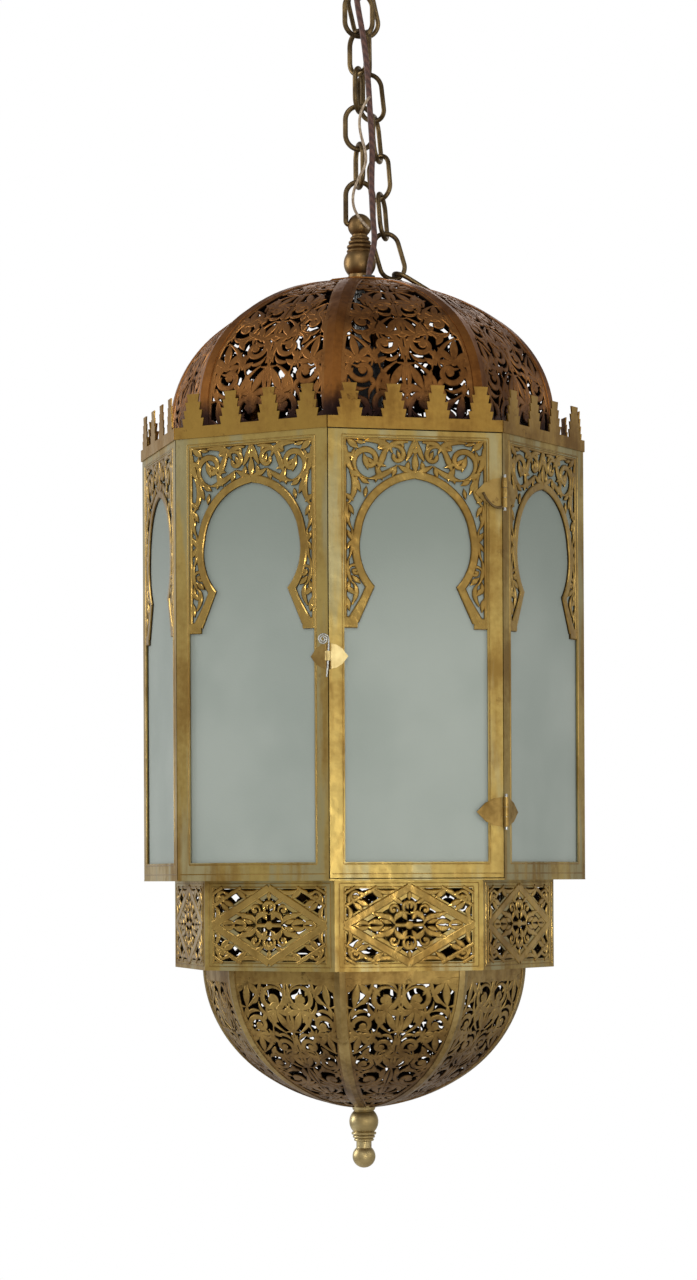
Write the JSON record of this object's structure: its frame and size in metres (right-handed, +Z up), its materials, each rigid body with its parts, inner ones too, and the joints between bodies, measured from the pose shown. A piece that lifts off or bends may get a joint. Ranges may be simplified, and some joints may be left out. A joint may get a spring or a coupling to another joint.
{
  "type": "hanging lantern",
  "caption": "Octagonal pierced-brass hanging lantern with domed top and bowl, frosted glass sides, a hinged latched door and a chain.",
  "frame": {"origin": "centre of the canopy's rim and the ceiling plate's top face, in the plane of the ceiling", "axes": "+Z up out of the ceiling face, -Y out of the door's face, X along the two ceiling screw holes"},
  "size_m": [0.3534, 0.3572, 1.0771],
  "materials": {
    "dark_brass": "dark antique patina",
    "chain_brass": "dark antique patina, rubbed",
    "cord_sheath": "dark red-brown flexible sheath",
    "earth_braid": "grey clear-sheathed wire",
    "dome_brass": "copper-brown aged sheet",
    "turned_brass": "satin aged brass",
    "black_bush": "black bush",
    "steel": "plated steel",
    "lampholder_black": "black lampholder plastic",
    "lamp_cap_metal": "lamp cap",
    "lamp_glass": "clear lamp glass",
    "aged_brass": "hand-pierced brass with a warm uneven patina",
    "frosted_glass": "frosted grey-green glass"
  },
  "bodies": {
    "ceiling_fitting": {"ceiling_plate": "dark_brass", "canopy": "dark_brass", "ceiling_eye": "dark_brass"},
    "hook": {"ceiling_hook": "dark_brass"},
    "lantern": {"main_chain": "chain_brass", "finial_link": "chain_brass", "spare_chain": "chain_brass", "supply_cord": "cord_sheath", "earth_wire": "earth_braid", "upper_finial": "turned_brass", "dome_cap": "dome_brass", "cord_grommet": "black_bush", "hanging_rod": "steel", "rod_nuts": "steel", "lampholder_cap": "lampholder_black", "lampholder_body": "lampholder_black", "lamp_cap": "lamp_cap_metal", "lamp_glass": "lamp_glass", "upper_gores": "dome_brass", "upper_ribs": "dome_brass", "top_ring": "aged_brass", "crown_strips": "aged_brass", "base_ring": "aged_brass", "collar_panels": "aged_brass", "collar_ring": "aged_brass", "lower_gores": "aged_brass", "lower_ribs": "aged_brass", "lower_finial": "turned_brass", "hinge_frame_leaves": "aged_brass", "hinge_pins": "steel", "latch_frame_leaf": "aged_brass", "wall_frame_1": "aged_brass", "wall_frame_2": "aged_brass", "wall_frame_3": "aged_brass", "wall_frame_4": "aged_brass", "wall_frame_5": "aged_brass", "wall_frame_6": "aged_brass", "wall_frame_7": "aged_brass", "wall_screen_1": "aged_brass", "wall_screen_2": "aged_brass", "wall_screen_3": "aged_brass", "wall_screen_4": "aged_brass", "wall_screen_5": "aged_brass", "wall_screen_6": "aged_brass", "wall_screen_7": "aged_brass", "wall_glass_1": "frosted_glass", "wall_glass_2": "frosted_glass", "wall_glass_3": "frosted_glass", "wall_glass_4": "frosted_glass", "wall_glass_5": "frosted_glass", "wall_glass_6": "frosted_glass", "wall_glass_7": "frosted_glass"},
    "door": {"door_frame": "aged_brass", "door_screen": "aged_brass", "door_glass": "frosted_glass", "hinge_door_leaves": "aged_brass", "latch_door_leaf": "aged_brass"},
    "latch": {"latch_pin": "steel"}
  },
  "joints": [
    {"name": "hook_swing", "type": "hinge", "parent": "ceiling_fitting", "child": "hook", "pos_m": [0, 0, -0.05525], "axis": [1, 0, 0], "range_deg": [-8, 8]},
    {"name": "lantern_swing", "type": "hinge", "parent": "hook", "child": "lantern", "pos_m": [0, 0, -0.07985], "axis": [0, 1, 0], "range_deg": [-8, 8]},
    {"name": "door_hinge", "type": "hinge", "parent": "lantern", "child": "door", "pos_m": [0.07379, -0.17813, -0.65085], "axis": [0, 0, 1], "range_deg": [0, 105]},
    {"name": "latch_slide", "type": "slide", "parent": "door", "child": "latch", "axis": [0, 0, 1], "range_m": [0, 0.018]}
  ]
}
